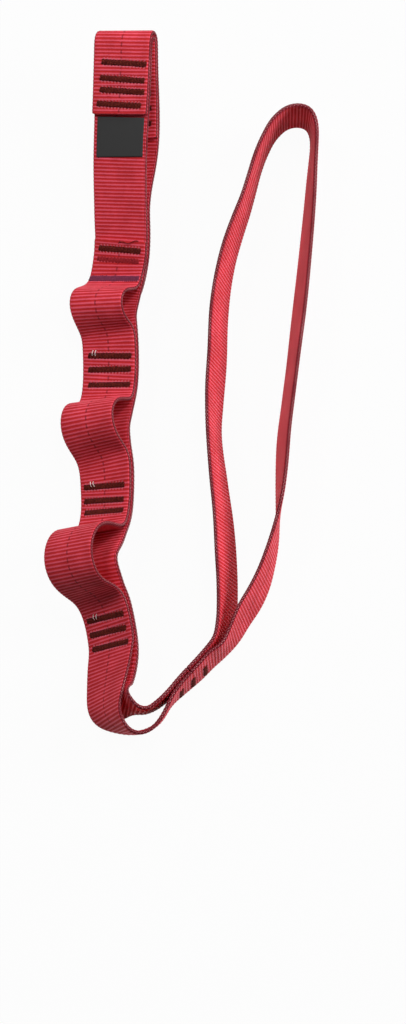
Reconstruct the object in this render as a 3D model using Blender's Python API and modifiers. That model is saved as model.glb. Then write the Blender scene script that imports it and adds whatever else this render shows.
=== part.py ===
"""Multi-loop webbing strap: a sewn top eye, a chain of slack pockets and one big foot loop.

Two lengths of flat tape are held together by bar tacks. The main tape lies behind the chain as
its straight back, turns through the throat, goes once round the foot loop and comes back up the
chain as its front, which is left slack between the tack groups to form the pockets. At the top
the main tape folds over to make the eye, and a second tape covers that fold.

The strap lies on a surface as it was laid out: the foot loop stands on its edge, the chain lies
rolled on its lower edge, and the eye curls up. Metres, +Z up, the strap's length along Y.
"""

import math

import bmesh
import bpy
import numpy as np
from mathutils import Matrix, Vector

# Tape
TAPE_WIDTH = 0.0254
TAPE_THICKNESS = 0.0018
TAPE_EDGE = 0.0004
LAYER_GAP = 0.0003
SEAM_GAP = 0.0003

# How the strap is laid out
STRAP_LENGTH = 0.300
STRAP_SPREAD = 0.114

# Eye, pockets and throat
EYE_LENGTH = 0.076
EYE_OPENING = 0.0088
COVER_TAIL = 0.0150
FLAP_END_FRONT = 0.0340
FLAP_END_REAR = 0.0430
POCKET_RISES = (0.0119, 0.0125, 0.0146)
THROAT_OPENING = 0.0067

# Bar tacks
TACK_LENGTH = 0.0200
TACK_BAND = 0.0022
TACK_RISE = 0.0006
TACK_CORE = 0.0009
TACK_CLEARANCE = 0.00035
PAIR_PITCH = 0.0043
TACK_PITCH = 0.0063
JUNCTION_PITCH = 0.0067
FLAP_TACKS_FRONT = (0.0134, 0.0201, 0.0250, 0.0307)
FLAP_TACKS_REAR = (0.0183, 0.0242, 0.0302, 0.0368)

# Label
LABEL_WIDTH = 0.0214
LABEL_LENGTH = 0.0168
LABEL_THICKNESS = 0.0005
LABEL_AT = 0.0449

# How finely a tape is walked and faceted
WALK_STEP = 0.0005
STATION_RUN = 0.0060
STATION_TURN = math.radians(5)
SELVAGE_TURN = math.radians(60)
FOLD_STEPS = 24
SMOOTHING = 12
STEADY_SPAN = 0.0300

# The chain's middle line, from the top fold to the end of the junction: place across the spread,
# place along the length, lift of the lower edge in tape widths, roll in degrees, share of the
# throat opening, and how far the two layers lean apart in degrees
CHAIN_SHARES = (
    (-0.216, 0.493, 1.18, 19, 0.00, 0),
    (-0.223, 0.417, 0.93, 22, 0.00, 0),
    (-0.233, 0.323, 0.63, 27, 0.00, 0),
    (-0.231, 0.257, 0.42, 29, 0.00, 0),
    (-0.229, 0.203, 0.24, 29, 0.00, 0),
    (-0.238, 0.163, 0.13, 28, 0.00, 0),
    (-0.257, 0.130, 0.12, 28, 0.00, 0),
    (-0.269, 0.101, 0.18, 28, 0.00, 0),
    (-0.264, 0.074, 0.18, 28, 0.00, 0),
    (-0.261, 0.050, 0.14, 28, 0.00, 0),
    (-0.264, 0.000, 0.05, 29, 0.00, 0),
    (-0.279, -0.035, 0.13, 30, 0.00, 0),
    (-0.289, -0.062, 0.21, 31, 0.00, 0),
    (-0.284, -0.090, 0.19, 32, 0.00, 0),
    (-0.274, -0.115, 0.14, 33, 0.00, 0),
    (-0.271, -0.155, 0.05, 35, 0.00, 0),
    (-0.274, -0.183, 0.04, 37, 0.00, 0),
    (-0.296, -0.217, 0.17, 39, 0.00, 0),
    (-0.323, -0.257, 0.37, 41, 0.00, 0),
    (-0.300, -0.291, 0.25, 43, 0.00, 0),
    (-0.268, -0.322, 0.09, 44, 0.00, 0),
    (-0.252, -0.350, 0.03, 43, 0.00, 0),
    (-0.243, -0.383, 0.02, 43, 0.00, 0),
    (-0.252, -0.415, 0.00, 48, 0.09, 0),
    (-0.262, -0.436, 0.00, 57, 0.30, 1),
    (-0.252, -0.453, 0.00, 68, 0.70, 2),
    (-0.213, -0.469, 0.00, 85, 1.05, 3),
    (-0.165, -0.475, 0.00, 99, 1.00, 4),
    (-0.122, -0.472, 0.00, 102, 0.70, 3),
    (-0.086, -0.460, 0.00, 98, 0.25, 2),
    (-0.036, -0.440, 0.00, 93, 0.00, 0),
    (0.010, -0.422, 0.00, 90, 0.00, 0),
    (0.054, -0.406, 0.00, 88, 0.00, 0),
    (0.097, -0.388, 0.00, 87, 0.00, 0),
)

# The foot loop's middle line between the two ends of the junction, up the left leg, over the
# apex and down the right leg, in the same shares, with the roll in degrees
LOOP_SHARES = (
    (0.130, -0.370, 82),
    (0.152, -0.346, 77),
    (0.163, -0.317, 73),
    (0.164, -0.289, 72),
    (0.160, -0.248, 71),
    (0.151, -0.193, 72),
    (0.133, -0.133, 74),
    (0.115, -0.051, 77),
    (0.118, -0.015, 75),
    (0.128, 0.040, 74),
    (0.136, 0.110, 75),
    (0.150, 0.153, 77),
    (0.173, 0.195, 79),
    (0.204, 0.233, 81),
    (0.234, 0.266, 83),
    (0.257, 0.297, 84),
    (0.278, 0.326, 85),
    (0.303, 0.351, 86),
    (0.346, 0.380, 87),
    (0.395, 0.395, 88),
    (0.436, 0.397, 88),
    (0.466, 0.393, 88),
    (0.485, 0.379, 87),
    (0.489, 0.362, 86),
    (0.486, 0.343, 85),
    (0.481, 0.320, 84),
    (0.472, 0.272, 82),
    (0.451, 0.185, 80),
    (0.427, 0.100, 79),
    (0.408, 0.040, 80),
    (0.390, -0.014, 80),
    (0.371, -0.073, 80),
    (0.363, -0.125, 82),
    (0.356, -0.165, 86),
    (0.349, -0.190, 90),
    (0.335, -0.222, 95),
    (0.318, -0.248, 98),
    (0.292, -0.279, 101),
    (0.261, -0.304, 102),
    (0.227, -0.325, 101),
    (0.186, -0.355, 97),
    (0.147, -0.377, 91),
)

# The eye's rear arm: place along the eye and how far it stands off the front arm
EYE_SHARES = (
    (0.00, 0.53),
    (0.16, 0.69),
    (0.29, 0.84),
    (0.42, 0.97),
    (0.53, 1.00),
    (0.63, 0.92),
    (0.74, 0.66),
    (0.83, 0.35),
    (0.91, 0.12),
    (1.00, 0.00),
)

# Each pocket's side view: place from its foot to its toe, height, and how far the fold there is
# turned from square in degrees, the left edge running ahead
POCKET_OUTLINE_SHARES = (
    (
        (0.00, 0.00, 4),
        (0.14, 0.29, 9),
        (0.22, 0.73, 9),
        (0.32, 0.93, 7),
        (0.46, 1.00, 4),
        (0.60, 0.96, 4),
        (0.73, 0.82, 6),
        (0.83, 0.58, 7),
        (0.91, 0.28, 5),
        (1.00, 0.00, 3),
        (1.20, 0.00, 0),
    ),
    (
        (0.00, 0.00, -2),
        (0.08, 0.30, 0),
        (0.15, 0.68, 1),
        (0.24, 0.91, 1),
        (0.35, 0.99, 1),
        (0.47, 1.00, 0),
        (0.60, 0.91, -1),
        (0.70, 0.75, -1),
        (0.80, 0.51, -1),
        (0.90, 0.22, 0),
        (1.00, 0.00, 0),
        (1.20, 0.00, 0),
    ),
    (
        (0.00, 0.00, -5),
        (0.06, 0.18, -8),
        (0.11, 0.60, -8),
        (0.17, 0.86, -5),
        (0.26, 0.96, 0),
        (0.40, 1.00, 6),
        (0.55, 1.00, 12),
        (0.70, 0.93, 14),
        (0.79, 0.70, 9),
        (0.85, 0.35, 0),
        (0.92, 0.08, -5),
        (1.00, 0.00, -4),
        (1.20, 0.00, 0),
    ),
)

# Places along the chain, as shares of its whole length
FRONT_END_SHARE = 0.2515
GROUP_SHARES = (0.266, 0.4145, 0.579, 0.7555)
GROUP_COUNTS = (2, 3, 3, 3)
JUNCTION_COUNT = 3
POCKET_SHARES = ((0.306, 0.367), (0.457, 0.527), (0.624, 0.718))
JUNCTION_SHARE = 0.9685

RED = (0.46, 0.014, 0.028, 1.0)
DEEP_RED = (0.40, 0.012, 0.024, 1.0)
MAROON = (0.065, 0.010, 0.010, 1.0)
CHARCOAL = (0.033, 0.033, 0.034, 1.0)

PITCH = TAPE_THICKNESS + LAYER_GAP
UP = Vector((0, 0, 1))
HALF_TURN = 180


def clear_scene():
    """Remove every object that the file holds."""
    for thing in list(bpy.data.objects):
        bpy.data.objects.remove(thing, do_unlink=True)


def new_collection(name):
    """Make a collection in the scene and return it."""
    collection = bpy.data.collections.new(name)
    bpy.context.scene.collection.children.link(collection)
    return collection


def new_material(name, colour, roughness):
    """Make a plain non-metal material."""
    material = bpy.data.materials.new(name)
    material.use_nodes = True
    shader = material.node_tree.nodes["Principled BSDF"]
    shader.inputs["Base Color"].default_value = colour
    shader.inputs["Roughness"].default_value = roughness
    shader.inputs["Metallic"].default_value = 0
    material.diffuse_color = colour
    return material


def unit(vectors):
    """Scale each row to length one."""
    return vectors / np.linalg.norm(vectors, axis=-1, keepdims=True)


def walked(points):
    """Return the distance walked along the points, from zero at the first."""
    return np.concatenate(([0], np.cumsum(np.linalg.norm(np.diff(points, axis=0), axis=1))))


def resample(rows, count, size=3):
    """Read rows again at an even count along the line that their first columns draw."""
    far = walked(rows[:, :size])
    places = np.linspace(0, far[-1], count)
    return np.column_stack([np.interp(places, far, column) for column in rows.T])


def smooth_run(rows, size=3, passes=SMOOTHING):
    """Draw a curve through hand-placed rows and relax it as stiff tape would."""
    rows = np.array(rows, dtype=float)
    far = walked(rows[:, :size])
    slopes = np.gradient(rows, far, axis=0)
    dense = []
    for first in range(len(rows) - 1):
        span = far[first + 1] - far[first]
        part = np.linspace(0, 1, max(2, math.ceil(span / WALK_STEP)), endpoint=False)[:, None]
        dense.append(
            rows[first] * (1 + 2 * part) * (1 - part) ** 2
            + slopes[first] * span * part * (1 - part) ** 2
            + rows[first + 1] * part ** 2 * (3 - 2 * part)
            + slopes[first + 1] * span * part ** 2 * (part - 1)
        )
    dense.append(rows[-1:])
    dense = np.concatenate(dense)
    dense = resample(dense, math.ceil(walked(dense[:, :size])[-1] / WALK_STEP), size)
    for _ in range(passes):
        dense[1:-1] = (dense[:-2] + 2 * dense[1:-1] + dense[2:]) / 4
    return dense


class Run:
    """A tape's middle line, with the direction across the tape and the one out of its face."""

    def __init__(self, middle, roll):
        self.middle = middle
        self.along = unit(np.gradient(middle, axis=0))
        left = unit(np.cross(np.array(UP), self.along))
        above = np.cross(self.along, left)
        turn = np.radians(roll)[:, None]
        self.across = left * np.cos(turn) + above * np.sin(turn)
        self.face = np.cross(self.along, self.across)
        self.far = walked(middle)
        self.length = self.far[-1]

    def read(self, values, places):
        """Read one of the run's tables of vectors at places along it."""
        return np.column_stack([np.interp(places, self.far, column) for column in values.T])

    def at(self, places, rise, lean=0):
        """Return points that stand off the run by rise, with the direction across the tape."""
        places = np.atleast_1d(places)
        beyond = np.minimum(places, 0)[:, None] * self.along[0]
        face = unit(self.read(self.face, places))
        across = unit(self.read(self.across, places))
        middle = self.read(self.middle, places) + beyond
        lean = np.radians(np.broadcast_to(lean, places.shape))[:, None]
        rise = np.broadcast_to(rise, places.shape)[:, None]
        return middle + face * rise, across * np.cos(lean) + face * np.sin(lean)


def laid_out(shares):
    """Turn place shares into metres, with the height of the middle line from lift and roll."""
    rows = []
    for across, along, lift, roll, *rest in shares:
        height = TAPE_WIDTH * (lift + math.sin(math.radians(roll)) / 2)
        rows.append((across * STRAP_SPREAD, along * STRAP_LENGTH, height, roll, *rest))
    return rows


class Chain:
    """The chain's line between its two layers, and where each layer lies on it."""

    def __init__(self):
        rows = smooth_run(laid_out(CHAIN_SHARES))
        self.run = Run(rows[:, :3], rows[:, 3])
        self.length = self.run.length
        self.steady_face = steadied(self.run.face)
        self.steady_across = steadied(self.run.across)
        self.roll = rows[:, 3]
        self.parting = np.maximum(rows[:, 4], 0)
        self.splay = np.maximum(rows[:, 5], 0)

    def apart(self, places):
        """Return half of the throat opening and the lean of the outer layer at places."""
        parting = np.interp(places, self.run.far, self.parting)
        return parting * THROAT_OPENING / 2, np.interp(places, self.run.far, self.splay)

    def back(self, start, end):
        """Return the back layer's middle and across directions between two places."""
        places = np.arange(start, end + WALK_STEP / 2, WALK_STEP)
        opening, lean = self.apart(places)
        return self.run.at(places, -PITCH / 2 - opening, -lean)

    def front(self, start, end):
        """Return the front layer between two places, with the pockets that lie between them."""
        outline = np.array([(start, 0, 0, 0)])
        for pocket in range(len(POCKET_SHARES)):
            swell = pocket_outline(pocket, self.length)
            if swell[0, 0] >= start and swell[-1, 0] <= end:
                outline = np.concatenate((outline, level(outline[-1, 0], swell[0, 0]), swell))
        outline = np.concatenate((outline, level(outline[-1, 0], end), [(end, 0, 0, 0)]))
        outline = resample(outline, math.ceil(walked(outline[:, :2])[-1] / WALK_STEP), 2)
        places, rise, share, turn = outline.T
        opening, lean = self.apart(places)
        middle, across = self.run.at(places, PITCH / 2 + opening, lean)
        face = self.run.read(self.run.face, places)
        face = unit(face + (self.run.read(self.steady_face, places) - face) * share[:, None])
        middle = middle + face * rise[:, None]
        steady = self.run.read(self.steady_across, places)
        along = self.run.read(self.run.along, places) * np.tan(np.radians(turn))[:, None]
        return middle, unit(across + (steady - across) * share[:, None] + along)


def steadied(directions):
    """Average directions over a pocket's length, so that they ignore the bends inside it."""
    half = round(STEADY_SPAN / 2 / WALK_STEP)
    padded = np.pad(directions, ((half, half), (0, 0)), mode="edge")
    sums = np.cumsum(padded, axis=0)
    return unit(sums[2 * half:] - sums[:-2 * half])


def level(start, end):
    """Return the rows of a side view that stay flat between two places, ends left out."""
    places = np.arange(start + WALK_STEP, end - WALK_STEP / 2, WALK_STEP)
    return np.column_stack((places, np.zeros((len(places), 3))))


def pocket_outline(pocket, length):
    """Return a pocket's side view: place along the chain, height, share of height, and turn."""
    foot, toe = POCKET_SHARES[pocket]
    rows = []
    for place, height, turn in POCKET_OUTLINE_SHARES[pocket]:
        here = (foot + (toe - foot) * place) * length
        rows.append((here, height * POCKET_RISES[pocket], height, turn))
    rows = smooth_run(rows, 2)
    rows[:, 1:3] = np.maximum(rows[:, 1:3], 0)
    return rows


def eye_outline(end):
    """Return the eye's side view along the line between its two tapes.

    It starts on the front at the covering tape's end, goes up and over the fold, and comes down
    the rear to the same end.
    """
    widths = [(place * EYE_LENGTH, PITCH + share * EYE_OPENING) for place, share in EYE_SHARES]
    fold = widths[0][1] / 2
    front = [(place, 0) for place in np.arange(end, fold, -WALK_STEP)]
    turns = np.linspace(0, math.pi, FOLD_STEPS)[1:-1]
    over = [(fold - fold * math.sin(turn), fold * (math.cos(turn) - 1)) for turn in turns]
    rear = [(place + fold * (1 - place / EYE_LENGTH), -width) for place, width in widths]
    rear += [(place, -PITCH) for place in np.arange(EYE_LENGTH, end, STATION_RUN / 2)[1:]]
    rear.append((end, -PITCH))
    return np.concatenate((front, over, smooth_run(rear, 2)))


class Eye:
    """The top eye's side view, with the offsets of the two tapes that follow it."""

    def __init__(self, chain):
        self.chain = chain
        self.end = GROUP_SHARES[0] * chain.length + COVER_TAIL
        line = eye_outline(self.end)
        line = resample(line, math.ceil(walked(line)[-1] / WALK_STEP), 2)
        for _ in range(SMOOTHING):
            line[1:-1] = (line[:-2] + 2 * line[1:-1] + line[2:]) / 4
        heading = unit(np.gradient(line, axis=0))
        self.line = line
        self.heading = heading
        self.inward = np.column_stack((-heading[:, 1], heading[:, 0]))
        self.top = int(np.argmin(line[:, 0]))

    def tape(self, offset, front, rear):
        """Return a tape at an inward offset, from a place on the front to one on the rear."""
        kept = []
        for number, (place, _) in enumerate(self.line):
            on_front = number < self.top and place <= front
            on_rear = number >= self.top and place <= rear
            if on_front or on_rear:
                kept.append(number)
        flat = self.line[kept] + self.inward[kept] * offset
        return self.chain.run.at(flat[:, 0], flat[:, 1])

    def frame(self, place, on_front):
        """Return the middle, along and out-of-face directions of a tack through the eye."""
        numbers = [n for n in range(len(self.line)) if (n < self.top) == on_front]
        number = min(numbers, key=lambda n: abs(self.line[n, 0] - place))
        near = self.line[number - 1:number + 2]
        middle, across = self.chain.run.at(near[:, 0], near[:, 1])
        along = unit(middle[2] - middle[0])
        return middle[1], unit(np.cross(across[1], along)), across[1]


def foot_loop_rows(chain):
    """Return the loop's middle line, started and ended on the two layers at the junction."""
    ends = chain.length * np.array([JUNCTION_SHARE, (1 + JUNCTION_SHARE) / 2, 1])
    rolls = np.interp(ends, chain.run.far, chain.roll)
    inner, _ = chain.run.at(ends, -PITCH / 2)
    outer, _ = chain.run.at(ends, PITCH / 2)
    rows = [(*point, roll) for point, roll in zip(inner, rolls)]
    for across, along, roll_here in LOOP_SHARES:
        rows += [row[:4] for row in laid_out([(across, along, 0, roll_here)])]
    rows += [(*point, HALF_TURN - roll) for point, roll in zip(outer[::-1], rolls[::-1])]
    return rows


def stations(middle, across):
    """Keep the stations that a faceted tape needs, closer where it turns more."""
    along = unit(np.gradient(middle, axis=0))
    kept = [0]
    for number in range(1, len(middle) - 1):
        last = kept[-1]
        turn = math.acos(min(1, float(along[number] @ along[last])))
        twist = math.acos(min(1, float(across[number] @ across[last])))
        run = np.linalg.norm(middle[number] - middle[last])
        if turn > STATION_TURN or twist > STATION_TURN or run > STATION_RUN:
            kept.append(number)
    if np.linalg.norm(middle[-1] - middle[kept[-1]]) < TAPE_THICKNESS and len(kept) > 1:
        kept.pop()
    kept.append(len(middle) - 1)
    return middle[kept], across[kept]


def tape(name, collection, material, middle, across):
    """Lay a flat grid along a tape's stations and give it the tape's thickness."""
    middle, across = stations(middle, across)
    last = len(middle) - 1
    grid = bmesh.new()
    bmesh.ops.create_grid(grid, x_segments=last, y_segments=1, size=1)
    for vert in grid.verts:
        number = round((vert.co.x + 1) / 2 * last)
        vert.co = Vector(middle[number] + across[number] * vert.co.y * TAPE_WIDTH / 2)
    mesh = bpy.data.meshes.new(name)
    grid.to_mesh(mesh)
    grid.free()
    mesh.materials.append(material)
    item = bpy.data.objects.new(name, mesh)
    collection.objects.link(item)
    solid = item.modifiers.new("thickness", "SOLIDIFY")
    solid.thickness = TAPE_THICKNESS
    solid.offset = 0
    solid.use_even_offset = True
    edge = item.modifiers.new("selvage", "BEVEL")
    edge.width = TAPE_EDGE
    edge.segments = 1
    edge.limit_method = "ANGLE"
    edge.angle_limit = SELVAGE_TURN
    return item


def placed(item, origin, sideways, outward):
    """Set an object's place, with its X along the tape, its Y out of the face, Z across."""
    sideways, outward = Vector(sideways), Vector(outward)
    along = outward.cross(sideways)
    item.matrix_world = Matrix((along, outward, sideways)).transposed().to_4x4()
    item.matrix_world.translation = Vector(origin)
    return item


def tack_outline(low, high):
    """Return a bar tack's section: two bars of stitches with the core that joins them."""
    core, band = TACK_CORE / 2, TACK_BAND / 2
    inner_high, inner_low = high + TACK_CLEARANCE, low - TACK_CLEARANCE
    top, bottom = inner_high + TACK_RISE, inner_low - TACK_RISE
    right = [(core, inner_high), (band, inner_high), (band, top)]
    right_low = [(band, bottom), (band, inner_low), (core, inner_low)]
    mirrored = [(-x, y) for x, y in reversed(right_low + right)]
    return right_low + right + mirrored


def bar_tack(name, frame, low, high, tools):
    """Make one bar tack through the layers between low and high, and its slot's cutter."""
    origin, outward, sideways = frame
    curve = bpy.data.curves.new(name, "CURVE")
    curve.dimensions = "2D"
    curve.fill_mode = "BOTH"
    curve.extrude = TACK_LENGTH / 2
    spline = curve.splines.new("POLY")
    outline = tack_outline(low, high)
    spline.points.add(len(outline) - 1)
    for point, (x, y) in zip(spline.points, outline):
        point.co = (x, y, 0, 1)
    spline.use_cyclic_u = True
    curve.materials.append(tools["thread"])
    item = bpy.data.objects.new(name, curve)
    tools["parts"].objects.link(item)
    placed(item, origin, sideways, outward)
    bpy.ops.mesh.primitive_cube_add(size=1)
    cutter = bpy.context.object
    cutter.name = "slot_" + name
    for old in cutter.users_collection:
        old.objects.unlink(cutter)
    tools["cutters"].objects.link(cutter)
    size = Vector((TACK_CORE + 2 * TACK_CLEARANCE, high - low + 2 * TACK_CLEARANCE,
                   TACK_LENGTH + 2 * TACK_CLEARANCE))
    cutter.data.transform(Matrix.Diagonal(size).to_4x4())
    cutter.data.transform(Matrix.Translation((0, (high + low) / 2, 0)))
    placed(cutter, origin, sideways, outward)
    cutter.hide_render = True
    cutter.display_type = "WIRE"
    return cutter


def cut(item, cutters):
    """Cut the slots of bar tacks through a tape."""
    for cutter in cutters:
        slot = item.modifiers.new(cutter.name, "BOOLEAN")
        slot.operation = "DIFFERENCE"
        slot.solver = "EXACT"
        slot.object = cutter


def tack_frame(chain, place):
    """Return a chain tack's middle, out-of-face and across directions."""
    middle, across = chain.run.at(place, 0)
    face = unit(chain.run.read(chain.run.face, np.atleast_1d(place)))
    return middle[0], face[0], across[0]


def group_places(chain, number):
    """Return the places of one group's tacks along the chain."""
    count = GROUP_COUNTS[number]
    pitch = PAIR_PITCH if count == 2 else TACK_PITCH
    middle = GROUP_SHARES[number] * chain.length
    return [middle + (step - (count - 1) / 2) * pitch for step in range(count)]


def sew(chain, eye, tools):
    """Make every bar tack, and return the cutters of each group by name."""
    face = PITCH / 2 + TAPE_THICKNESS / 2
    groups = {}
    for side, places in (("front", FLAP_TACKS_FRONT), ("rear", FLAP_TACKS_REAR)):
        groups[side] = []
        for number, place in enumerate(places, 1):
            frame = eye.frame(place, side == "front")
            name = f"bar_tack_{side}_flap_{number}"
            groups[side].append(bar_tack(name, frame, -face, face, tools))
    for group in range(len(GROUP_SHARES)):
        low = -face - PITCH if group == 0 else -face
        groups[group] = []
        for number, place in enumerate(group_places(chain, group), 1):
            name = f"bar_tack_group_{group + 1}_{number}"
            groups[group].append(bar_tack(name, tack_frame(chain, place), low, face, tools))
    groups["junction"] = []
    for number in range(JUNCTION_COUNT):
        step = number - (JUNCTION_COUNT - 1) / 2
        place = JUNCTION_SHARE * chain.length + step * JUNCTION_PITCH
        name = f"bar_tack_junction_{number + 1}"
        groups["junction"].append(bar_tack(name, tack_frame(chain, place), -face, face, tools))
    return groups


def main_tape(chain, eye, tools, groups):
    """Lay the main tape in lengths that meet inside the tack groups."""
    parts, red = tools["parts"], tools["red"]
    half = SEAM_GAP / 2
    seams = [GROUP_SHARES[0] * chain.length]
    for share in GROUP_SHARES[1:]:
        seams.append(share * chain.length + TACK_PITCH / 2)
    junction = JUNCTION_SHARE * chain.length - JUNCTION_PITCH / 2
    folded, folded_across = eye.tape(PITCH / 2, seams[0] - half, FLAP_END_REAR)
    item = tape("main_tape_eye", parts, red, folded, folded_across)
    cut(item, groups["front"] + groups["rear"] + groups[0][:1])
    item = tape("main_tape_back", parts, red, *chain.back(seams[0] + half, seams[3] - half))
    cut(item, groups[0][1:] + groups[1] + groups[2] + groups[3][:2])
    item = tape("main_tape_throat_inner", parts, red, *chain.back(seams[3] + half, junction - half))
    cut(item, groups[3][2:] + groups["junction"][:1])
    item = tape("main_tape_throat_outer", parts, red, *chain.front(seams[3] + half, junction - half))
    cut(item, groups[3][2:] + groups["junction"][:1])
    ends = [FRONT_END_SHARE * chain.length - half, *seams[1:]]
    for pocket in range(len(POCKET_SHARES)):
        name = f"main_tape_pocket_{pocket + 1}"
        item = tape(name, parts, red, *chain.front(ends[pocket] + half, ends[pocket + 1] - half))
        above = groups[0] if pocket == 0 else groups[pocket][2:]
        cut(item, above + groups[pocket + 1][:2])
    rows = smooth_run(foot_loop_rows(chain))
    loop = Run(rows[:, :3], rows[:, 3])
    lead = chain.length * (1 - JUNCTION_SHARE) + JUNCTION_PITCH / 2
    item = tape("main_tape_foot_loop", parts, red, *foot_loop(chain, loop, lead, half))
    cut(item, groups["junction"][1:])


def foot_loop(chain, loop, lead, half):
    """Join the junction's two layers to the ends of the loop's middle line."""
    start = chain.length - lead + half
    inner, inner_across = chain.back(start, JUNCTION_SHARE * chain.length - WALK_STEP)
    outer, outer_across = chain.front(start, JUNCTION_SHARE * chain.length - WALK_STEP)
    middle = np.concatenate((inner, loop.middle, outer[::-1]))
    across = np.concatenate((inner_across, loop.across, outer_across[::-1]))
    return middle, across


def cover_tape(eye, tools, groups):
    """Lay the second tape over the eye's fold, down to the end of its rear arm."""
    middle, across = eye.tape(-PITCH / 2, FLAP_END_FRONT, eye.end)
    item = tape("eye_tape", tools["parts"], tools["deep_red"], middle, across)
    cut(item, groups["front"] + groups["rear"] + groups[0])


def label(chain, tools):
    """Lay the bare woven label on the front arm of the eye."""
    bpy.ops.mesh.primitive_cube_add(size=1)
    item = bpy.context.object
    item.name = "label"
    for old in item.users_collection:
        old.objects.unlink(item)
    tools["parts"].objects.link(item)
    item.data.transform(Matrix.Diagonal((LABEL_LENGTH, LABEL_THICKNESS, LABEL_WIDTH, 1)))
    item.data.materials.append(tools["charcoal"])
    rise = -PITCH / 2 + (TAPE_THICKNESS + LABEL_THICKNESS) / 2 + LAYER_GAP
    middle, across = chain.run.at(LABEL_AT, rise)
    face = unit(chain.run.read(chain.run.face, np.atleast_1d(LABEL_AT)))
    placed(item, middle[0], across[0], face[0])


def stand_at_origin(parts, cutters):
    """Move the strap so that the middle of its underside is the origin."""
    bpy.context.view_layer.update()
    graph = bpy.context.evaluated_depsgraph_get()
    points = []
    for item in parts.objects:
        body = item.evaluated_get(graph)
        points += [body.matrix_world @ vert.co for vert in body.to_mesh().vertices]
        body.to_mesh_clear()
    points = np.array(points)
    low, high = points.min(axis=0), points.max(axis=0)
    base = Vector(((low[0] + high[0]) / 2, (low[1] + high[1]) / 2, low[2]))
    for item in list(parts.objects) + list(cutters.objects):
        item.location -= base
    return base


def main():
    """Build the strap."""
    clear_scene()
    tools = {
        "parts": new_collection("multi_loop_strap"),
        "cutters": new_collection("cutters"),
        "red": new_material("red_tape", RED, 0.75),
        "deep_red": new_material("eye_tape_red", DEEP_RED, 0.75),
        "thread": new_material("maroon_thread", MAROON, 0.7),
        "charcoal": new_material("charcoal_label", CHARCOAL, 0.8),
    }
    chain = Chain()
    eye = Eye(chain)
    groups = sew(chain, eye, tools)
    main_tape(chain, eye, tools, groups)
    cover_tape(eye, tools, groups)
    label(chain, tools)
    base = stand_at_origin(tools["parts"], tools["cutters"])
    print("chain length", round(chain.length, 4), "moved by", tuple(round(v, 5) for v in base))


if __name__ == "__main__":
    main()
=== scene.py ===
"""Dressed model of a sewn multi-loop strap: ribbed webbing, bar tacks, label and loose thread.

The frame is loaded first. Every new surface is worked out with numpy as a function of two
numbers: how far along a tape or thread it lies, and where round the section. Lengths are metres.
"""

import math

import bpy
import numpy as np
from bpy.props import FloatProperty, FloatVectorProperty, IntProperty, PointerProperty
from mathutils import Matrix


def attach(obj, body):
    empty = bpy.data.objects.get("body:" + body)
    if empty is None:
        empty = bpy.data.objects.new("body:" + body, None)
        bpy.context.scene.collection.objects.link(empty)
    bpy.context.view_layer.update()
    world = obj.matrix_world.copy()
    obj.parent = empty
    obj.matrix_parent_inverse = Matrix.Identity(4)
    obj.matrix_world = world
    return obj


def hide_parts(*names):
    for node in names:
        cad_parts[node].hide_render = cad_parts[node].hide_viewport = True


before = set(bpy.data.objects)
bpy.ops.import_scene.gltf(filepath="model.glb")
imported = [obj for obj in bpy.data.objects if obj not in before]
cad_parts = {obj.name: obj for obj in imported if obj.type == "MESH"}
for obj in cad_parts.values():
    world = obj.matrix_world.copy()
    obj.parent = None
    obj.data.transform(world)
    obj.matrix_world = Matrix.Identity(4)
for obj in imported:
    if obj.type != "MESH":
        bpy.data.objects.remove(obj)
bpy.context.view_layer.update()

bl_info = {
    "name": "Multi-loop webbing strap",
    "version": (1, 0, 0),
    "blender": (4, 5, 0),
    "location": "3D View > Sidebar > Strap",
    "description": "Dresses the solids of a sewn multi-loop strap with woven tape and thread",
    "category": "Add Mesh",
}

MM = 0.001
TURN = 2 * math.pi
UP = np.array((0.0, 0.0, 1.0))

# The lengths that the solids were laid out with
TAPE_WIDTH = 25.4 * MM
TAPE_THICKNESS = 1.8 * MM
PITCH = 2.1 * MM
STRAP_LENGTH = 300 * MM
STRAP_SPREAD = 114 * MM
EYE_LENGTH = 76 * MM
EYE_OPENING = 8.8 * MM
COVER_TAIL = 15 * MM
FLAP_END_FRONT = 34 * MM
FLAP_END_REAR = 43 * MM
POCKET_RISES = (11.9 * MM, 12.5 * MM, 14.6 * MM)
THROAT_OPENING = 6.7 * MM
TACK_LENGTH = 20 * MM
JUNCTION_TACK_SHARE = 0.62
TACK_BAND = 2.2 * MM
FLAP_TACKS_FRONT = (13.4 * MM, 20.1 * MM, 25.0 * MM, 30.7 * MM)
FLAP_TACKS_REAR = (18.3 * MM, 24.2 * MM, 30.2 * MM, 36.8 * MM)
LABEL_AT = 44.9 * MM
WALK = 0.5 * MM
SMOOTHING = 12
FOLD_STEPS = 24
STEADY_SPAN = 30 * MM
# Where the laid-out line's zero lies in the frame, and what the camera is aimed at on it
LAID_AT = np.array((-0.23 * MM, -0.72 * MM, 1.15 * MM))
AIMED_AT = np.array((8.74 * MM, -50.99 * MM, 0))

# Places on the chain, as shares of its length
FRONT_END_SHARE = 0.2515
EYE_SEAM_SHARE = 0.266
POCKET_SHARES = ((0.306, 0.367), (0.457, 0.527), (0.624, 0.718))
JUNCTION_SHARE = 0.9685
# The chain's tack groups: name, middle, number of tacks, pitch
TACK_GROUPS = (
    ("group_1", EYE_SEAM_SHARE, 2, 4.3 * MM),
    ("group_2", 0.4145, 3, 6.3 * MM),
    ("group_3", 0.579, 3, 6.3 * MM),
    ("group_4", 0.7555, 3, 6.3 * MM),
    ("junction", JUNCTION_SHARE, 3, 6.7 * MM),
)

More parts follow.
